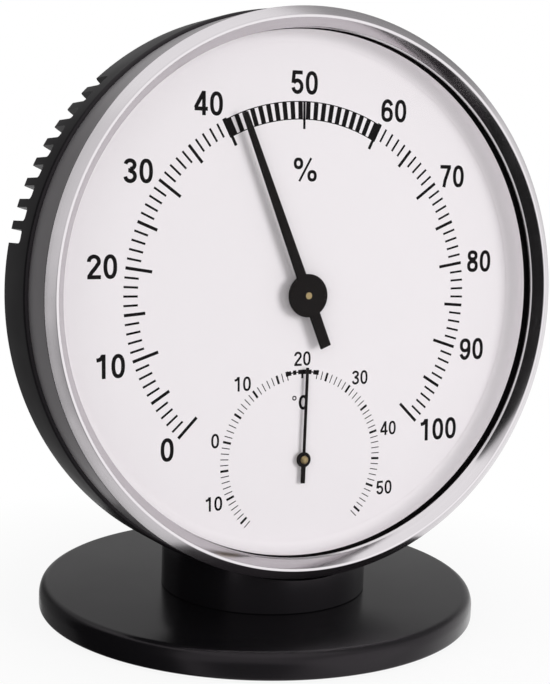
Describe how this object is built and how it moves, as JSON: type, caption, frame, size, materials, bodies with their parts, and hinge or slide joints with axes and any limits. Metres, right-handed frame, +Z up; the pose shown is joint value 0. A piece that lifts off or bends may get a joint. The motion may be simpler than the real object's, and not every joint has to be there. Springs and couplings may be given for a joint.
{
  "type": "table hygrometer",
  "caption": "Round table hygrometer with a small thermometer: metal bezel, silver dial, black vented case, pointers on a hair and a bimetal movement, disc foot.",
  "frame": {"origin": "centre of the foot's underside, on the surface that the object stands on", "axes": "+Z up, the dial faces -Y and leans back 3.5 degrees, +X to the right as the dial is read"},
  "size_m": [0.1316, 0.1076, 0.1457],
  "materials": {
    "black_plastic": "satin moulded",
    "pad_rubber": "matt",
    "plain_steel": "plain",
    "bezel_steel": "satin wall, polished rim",
    "lens_glass": "clear",
    "dial_aluminium": "silver white, printed",
    "pointer_black": "matt black",
    "movement_brass": "plain",
    "bimetal_strip": "rolled strip",
    "spring_steel": "blued",
    "hair": "natural"
  },
  "bodies": {
    "stand": {"foot_disc": "black_plastic", "foot_pillar": "black_plastic", "case_shell": "black_plastic", "rear_cover": "black_plastic", "spacer_ring": "dial_aluminium", "foot_pad": "pad_rubber", "foot_ballast": "plain_steel", "stand_screw": "plain_steel", "lever_pin": "plain_steel", "bezel_ring": "bezel_steel", "lens": "lens_glass", "dial_plate": "dial_aluminium", "movement_plate": "movement_brass", "dial_post_1": "movement_brass", "dial_post_2": "movement_brass", "dial_post_3": "movement_brass", "movement_bridge": "movement_brass", "bridge_post_1": "movement_brass", "bridge_post_2": "movement_brass", "bridge_post_3": "movement_brass", "hygro_bush": "movement_brass", "thermo_bush": "movement_brass", "bimetal_stud": "movement_brass", "hair_spring_stud": "movement_brass", "bimetal_spiral": "bimetal_strip", "hair_spring": "spring_steel", "hair_bundle": "hair", "pull_thread": "hair"},
    "hygro_needle": {"hygro_arbor": "movement_brass", "hygro_pointer": "pointer_black", "hygro_collet": "movement_brass", "hygro_drum": "movement_brass", "hair_spring_collet": "movement_brass"},
    "thermo_needle": {"thermo_arbor": "movement_brass", "thermo_pointer": "pointer_black", "thermo_hub": "movement_brass", "bimetal_collet": "movement_brass"},
    "lever": {"hair_lever": "movement_brass"},
    "adjuster": {"adjust_screw": "plain_steel", "adjust_arm": "movement_brass"}
  },
  "joints": [
    {"name": "hygro_turn", "type": "hinge", "parent": "stand", "child": "hygro_needle", "pos_m": [0, -0.02091, 0.08029], "axis": [0, 0.9981, -0.061], "range_deg": [-113.4, 156.6], "stiffness_Nm_per_rad": 0.001},
    {"name": "thermo_turn", "type": "hinge", "parent": "stand", "child": "thermo_needle", "pos_m": [0, -0.02237, 0.04181], "axis": [0, 0.9981, -0.061], "range_deg": [-137.25, 132.75], "stiffness_Nm_per_rad": 0.0005},
    {"name": "lever_turn", "type": "hinge", "parent": "stand", "child": "lever", "pos_m": [-0.02704, -0.01194, 0.08776], "axis": [0, 0.9981, -0.061], "range_deg": [-10.5, 14.5]},
    {"name": "adjust_turn", "type": "hinge", "parent": "stand", "child": "adjuster", "pos_m": [-0.02404, -0.01074, 0.04358], "axis": [0, 0.9981, -0.061], "range_deg": [-15, 15]}
  ],
  "couplings": [
    {"joint": "lever_turn", "follows": "hygro_turn", "ratio": 0.0913}
  ]
}
